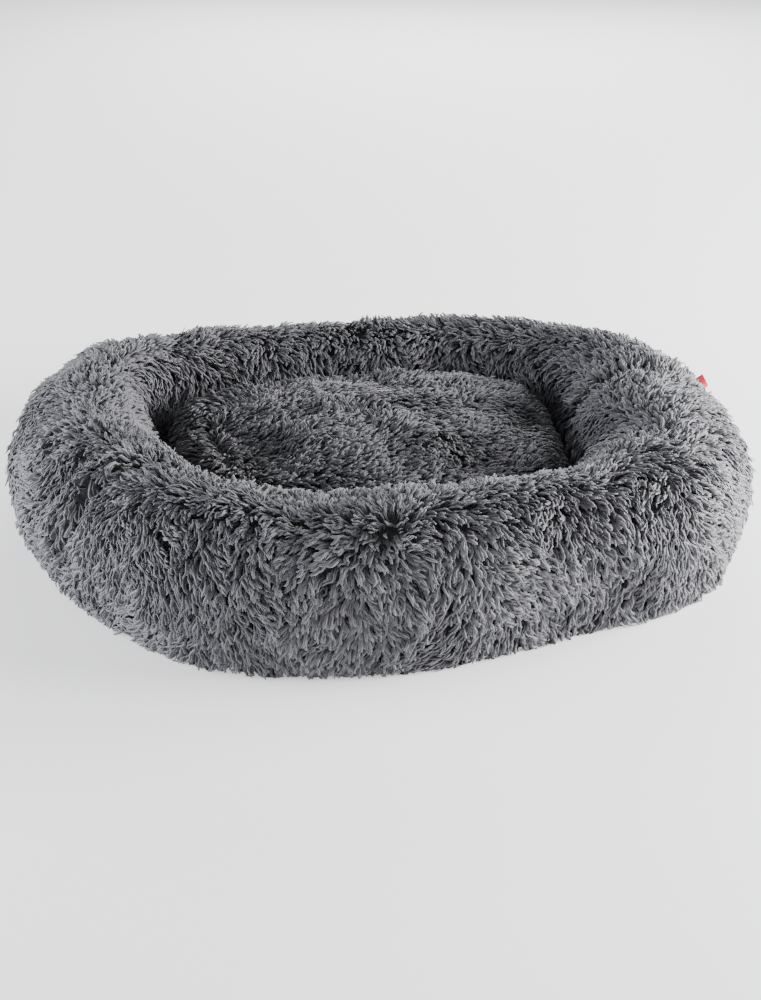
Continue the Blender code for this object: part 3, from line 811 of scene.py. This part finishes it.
def zip_teeth(word, finish):
    """Row of moulded teeth: blocks with a rounded head towards the other row, half a pitch out of step."""
    low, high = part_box(f"zip_teeth_{word}")
    side = 1 if low.y >= 0 else -1
    inner, outer = (low.y, high.y) if side > 0 else (high.y, low.y)
    count = int((high.x - low.x) / TOOTH_PITCH)
    x = low.x + TOOTH_PITCH / 2 + np.arange(count) * TOOTH_PITCH + side * TOOTH_PITCH / 4
    half = (high.z - low.z) / 2
    deep = outer - inner
    outline = np.array([(-0.55, 1.0), (-0.55, 0.45), (-0.8, 0.25), (-0.5, 0.0), (0.5, 0.0), (0.8, 0.25),
                        (0.55, 0.45), (0.55, 1.0)])
    flat = np.stack([outline[:, 0] * 0.00085, inner + outline[:, 1] * deep], axis=-1)
    centre = flat.mean(axis=0)
    rings = []
    for height, size in ((-1.0, 0.8), (-0.75, 1.0), (0.75, 1.0), (1.0, 0.8)):
        ring = centre + (flat - centre) * size
        rings.append(np.column_stack([ring, np.full(8, (low.z + high.z) / 2 + height * half)]))
    tooth = np.concatenate(rings)
    points = (tooth[None] + np.column_stack([x, 0 * x, 0 * x])[:, None]).reshape(-1, 3)
    first = (np.arange(count) * 32)[:, None, None]
    sides = (grid_faces(4, 8, wrap=True)[None] + first).reshape(-1, 4)
    caps = (np.stack([np.arange(8)[::-1], np.arange(24, 32)])[None] + first).reshape(-1, 8)
    row = new_mesh(f"teeth_{word}", points, [sides, caps], smooth=False)
    face_out(row)
    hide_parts(f"zip_teeth_{word}")
    dress(row, finish, "cushion")


def zip_tape(word, finish):
    """Woven tape with a thicker corded edge along the teeth, thinning to its free edge."""
    low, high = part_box(f"zip_tape_{word}")
    side = 1 if low.y >= 0 else -1
    along = np.linspace(low.x, high.x, 160)[:, None]
    across = np.linspace(0, 1, 14)[None, :]
    y = (low.y if side > 0 else high.y) + side * across * (high.y - low.y)
    y = y + 0.0003 * np.sin(along * 260) * across * (1 - across)
    middle = (low.z + high.z) / 2
    thick = (high.z - low.z) / 2 * (0.55 + 0.45 * np.exp(-(across / 0.08) ** 2))
    layers = []
    for up in (1, -1):
        x = along + 0 * across
        layers.append(np.stack([x, y + 0 * x, middle + up * thick + 0 * x], axis=-1))
    tape = thick_sheet(f"tape_{word}", *layers)
    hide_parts(f"zip_tape_{word}")
    dress(tape, finish, "cushion")


def rubber_dots(foot, finish):
    """Low round dots in staggered rows under the base, so that it doesn't slide."""
    steps = np.arange(-15, 16)
    x, y = np.meshgrid(steps * DOT_PITCH, steps * 0.026, indexing="ij")
    x = x + (np.arange(31) % 2)[None, :] * DOT_PITCH / 2
    size = np.linalg.norm(foot, axis=1)
    order = np.argsort(np.arctan2(foot[:, 1], foot[:, 0]))
    limit = np.interp(np.arctan2(y, x), np.arctan2(foot[:, 1], foot[:, 0])[order], size[order])
    inside = np.hypot(x, y) < limit - 0.02
    centres = np.stack([x[inside], y[inside]], axis=-1)
    turn = np.arange(10) * (math.pi / 5)
    circle = np.stack([np.cos(turn), np.sin(turn)], axis=-1)
    rings = []
    for radius, height in ((0.0034, 0.0008), (0.0032, 0.0002), (0.0026, 0.0)):
        ring = centres[:, None] + circle[None] * radius
        rings.append(np.concatenate([ring, np.full((*ring.shape[:2], 1), height)], axis=-1))
    points = np.concatenate(rings, axis=1)
    first = (np.arange(len(centres)) * 30)[:, None, None]
    sides = (grid_faces(3, 10, wrap=True)[None] + first).reshape(-1, 4)
    caps = (np.stack([np.arange(10)[::-1], np.arange(20, 30)])[None] + first).reshape(-1, 10)
    dots = new_mesh("grip_dots", points.reshape(-1, 3), [sides, caps], smooth=False)
    face_out(dots)
    dress(dots, finish, "bed")


def coat(thing, finish):
    """Give a piece or a CAD node its finish alone."""
    thing.data.materials.clear()
    thing.data.materials.append(finish)


def dress(thing, finish, body):
    """Give a piece its finish and its body."""
    coat(thing, finish)
    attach(thing, body)


# ---------------------------------------------------------------- finishes
def new_finish(name, roughness, **sockets):
    """Principled material and its node tree, with constant sockets set on the shader."""
    made = bpy.data.materials.new(name)
    made.use_nodes = True
    shader = made.node_tree.nodes["Principled BSDF"]
    shader.inputs["Roughness"].default_value = roughness
    for socket, value in sockets.items():
        shader.inputs[socket.replace("_", " ")].default_value = value
    return made, made.node_tree, shader


def ramp(tree, source, stops):
    """Colour ramp with (place, grey or colour) stops."""
    node = tree.nodes.new("ShaderNodeValToRGB")
    elements = node.color_ramp.elements
    while len(elements) < len(stops):
        elements.new(0.5)
    for element, (place, colour) in zip(elements, stops):
        element.position = place
        element.color = (*colour, 1.0)
    tree.links.new(source, node.inputs["Fac"])
    return node.outputs["Color"]


def blended(tree, kind, factor, first, second):
    """Mix of two colours; factor is a socket or a number."""
    node = tree.nodes.new("ShaderNodeMix")
    node.data_type = "RGBA"
    node.blend_type = kind
    for slot, value in (("Factor", factor), ("A", first), ("B", second)):
        wanted = "VALUE" if slot == "Factor" else "RGBA"
        socket = next(s for s in node.inputs if s.name == slot and s.type == wanted and s.enabled)
        if isinstance(value, (int, float)):
            socket.default_value = value
        else:
            tree.links.new(value, socket)
    return next(s for s in node.outputs if s.type == "RGBA")


def object_texture(tree, kind, **sockets):
    """Texture node on the piece's own coordinates, with constant sockets."""
    place = tree.nodes.new("ShaderNodeTexCoord")
    node = tree.nodes.new(kind)
    for socket, value in sockets.items():
        node.inputs[socket].default_value = value
    tree.links.new(place.outputs["Object"], node.inputs["Vector"])
    return node


def emboss(tree, shader, height, distance):
    """Bump of that distance, in metres, from a grey socket."""
    bump = tree.nodes.new("ShaderNodeBump")
    bump.inputs["Distance"].default_value = distance
    tree.links.new(height, bump.inputs["Height"])
    tree.links.new(bump.outputs["Normal"], shader.inputs["Normal"])


def pile_finish(name, shade):
    """Polyester pile, each lock with its own tone: darker towards the root as painted shade between the
    locks, paler towards the tip as a painted highlight.
    """
    made, tree, shader = new_finish(name, 0.55, Sheen_Weight=0.28, Sheen_Roughness=0.5,
                                    Specular_IOR_Level=0.35)
    coordinates = tree.nodes.new("ShaderNodeUVMap")
    coordinates.uv_map = "OFBake"
    parts = tree.nodes.new("ShaderNodeSeparateXYZ")
    tree.links.new(coordinates.outputs["UV"], parts.inputs["Vector"])
    # root-to-tip greys: the dark root is painted shade between the locks, the pale tip a painted highlight
    root, low, high, tip = [tuple(shade * part * tint for tint in (1.0, 0.99, 1.12))
                            for part in (0.19, 0.24, 0.29, 0.34)]
    along = ramp(tree, parts.outputs["Y"], ((0.0, root), (0.30, low), (0.72, high), (1.0, tip)))
    greys = [(place, (grey,) * 3) for place, grey in ((0.0, 0.55), (0.5, 0.85), (1.0, 1.3))]
    tone = ramp(tree, parts.outputs["X"], greys)
    tree.links.new(blended(tree, "MULTIPLY", 1.0, along, tone), shader.inputs["Base Color"])
    return made


def cloth_finish(name, colour, scale=900.0):
    """Plain weave: two crossed waves of thread in colour and bump, each slightly bent."""
    made, tree, shader = new_finish(name, 0.9)
    weave = []
    for direction in ("X", "Y"):
        wave = object_texture(tree, "ShaderNodeTexWave", Scale=scale / 6.283, Distortion=0.6)
        wave.bands_direction = direction
        weave.append(wave.outputs["Color"])
    threads = blended(tree, "MULTIPLY", 1.0, weave[0], weave[1])
    dark = tuple(0.6 * part for part in colour)
    tree.links.new(ramp(tree, threads, ((0.0, dark), (1.0, colour))), shader.inputs["Base Color"])
    emboss(tree, shader, threads, 0.0004)
    return made


def satin_finish(name, colour):
    """Satin ribbon: fine crosswise ribs and a soft shine."""
    made, tree, shader = new_finish(name, 0.35, Sheen_Weight=0.2)
    wave = object_texture(tree, "ShaderNodeTexWave", Scale=420)
    wave.bands_direction = "DIAGONAL"
    dark = tuple(0.75 * part for part in colour)
    dyed = ramp(tree, wave.outputs["Color"], ((0.0, dark), (1.0, colour)))
    tree.links.new(dyed, shader.inputs["Base Color"])
    emboss(tree, shader, wave.outputs["Color"], 0.0001)
    return made


def worn_finish(name, colour, roughness, metallic=0.0):
    """Moulded or plated surface with faint cloudy unevenness in colour."""
    made, tree, shader = new_finish(name, roughness, Metallic=metallic)
    noise = object_texture(tree, "ShaderNodeTexNoise", Scale=600)
    dark = tuple(0.8 * part for part in colour)
    clouds = ramp(tree, noise.outputs["Fac"], ((0.35, dark), (0.65, colour)))
    tree.links.new(clouds, shader.inputs["Base Color"])
    return made


def fibre_finish(name, colour):
    """Loose white filling: soft clouds in colour and bump."""
    made, tree, shader = new_finish(name, 0.95, Sheen_Weight=0.3)
    noise = object_texture(tree, "ShaderNodeTexNoise", Scale=90, Detail=6)
    dark = tuple(0.7 * part for part in colour)
    clouds = ramp(tree, noise.outputs["Fac"], ((0.3, dark), (0.7, colour)))
    tree.links.new(clouds, shader.inputs["Base Color"])
    emboss(tree, shader, noise.outputs["Fac"], 0.002)
    return made


# ---------------------------------------------------------------- studio
def area_light(name, place, aim, size, power, colour=(1, 1, 1)):
    """Soft light of that width and height, looking at aim."""
    data = bpy.data.lights.new(name, "AREA")
    data.shape = "RECTANGLE"
    data.size, data.size_y = size
    data.energy = power
    data.color = colour
    lamp = bpy.data.objects.new(name, data)
    bpy.context.scene.collection.objects.link(lamp)
    lamp.location = place
    lamp.rotation_euler = (Vector(aim) - Vector(place)).to_track_quat("-Z", "Y").to_euler()


def studio():
    """Pale glowing floor, pale surroundings, and soft lights at both ends and behind."""
    corners = np.array([[-6, -6, 0], [6, -6, 0], [6, 6, 0], [-6, 6, 0]], float)
    floor = new_mesh("studio_floor", corners, [np.array([[0, 1, 2, 3]])], smooth=False)
    made, _, shader = new_finish("studio paper", 0.9)
    shader.inputs["Base Color"].default_value = (0.9, 0.9, 0.9, 1)
    shader.inputs["Emission Color"].default_value = (1, 1, 1, 1)
    shader.inputs["Emission Strength"].default_value = 0.6
    floor.data.materials.append(made)
    world = bpy.data.worlds.new("studio")
    world.use_nodes = True
    background = world.node_tree.nodes["Background"]
    background.inputs["Color"].default_value = (0.96, 0.97, 1, 1)
    background.inputs["Strength"].default_value = 0.46
    bpy.context.scene.world = world
    area_light("key_right", (2.4, 0.0, 0.50), (0.2, 0, 0.1), (1.8, 1.2), 390)
    area_light("fill_left", (-2.4, -0.3, 0.42), (-0.2, 0, 0.1), (1.8, 1.0), 160, (0.93, 0.95, 1.0))
    area_light("back", (0.2, 2.5, 1.1), (0, 0, 0.1), (1.8, 1.4), 55)


def build():
    """Make the whole bed."""
    place_camera()
    ring_plush = pile_finish("ring pile", 0.35)
    # the cushion's pile is the same fabric as the ring's; its lower value is painted shade of the nest
    cushion_plush = pile_finish("cushion pile", 0.31)
    backing = cloth_finish("pile backing", (0.035, 0.035, 0.039))
    base = cloth_finish("base cloth", (0.035, 0.035, 0.040))
    lining = cloth_finish("pad lining", (0.62, 0.62, 0.60))
    fibre = fibre_finish("white fibre", (0.80, 0.80, 0.78))
    tape = cloth_finish("zip tape", (0.030, 0.030, 0.034), 1800.0)
    plastic = worn_finish("black plastic", (0.02, 0.02, 0.021), 0.4)
    metal = worn_finish("plated metal", (0.55, 0.55, 0.56), 0.3, 1.0)
    ring_cloth("ring_cloth_rear", SEAM_ANGLE, "bolster_cover_rear", backing)
    ring_cloth("ring_cloth_front", SEAM_ANGLE + math.pi, "bolster_cover_front", backing)
    ring_fill(fibre)
    cushion_inside(backing, lining, fibre)
    underside_panel(-1, "front", base)
    underside_panel(1, "rear", base)
    base_layers(base, fibre, tape, plastic)
    for word in ("front", "rear"):
        zip_teeth(word, plastic)
        zip_tape(word, tape)
    labels(satin_finish("red satin", (0.55, 0.01, 0.02)), satin_finish("white satin", (0.78, 0.78, 0.76)))
    ring_pile(ring_plush)
    cushion_pile(cushion_plush)
    for name, finish in (("pad_casing_bottom", lining), ("zip_stop_closed", metal), ("zip_stop_open", metal),
                         ("zip_slider", metal)):
        coat(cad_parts[name], finish)
    studio()


build()
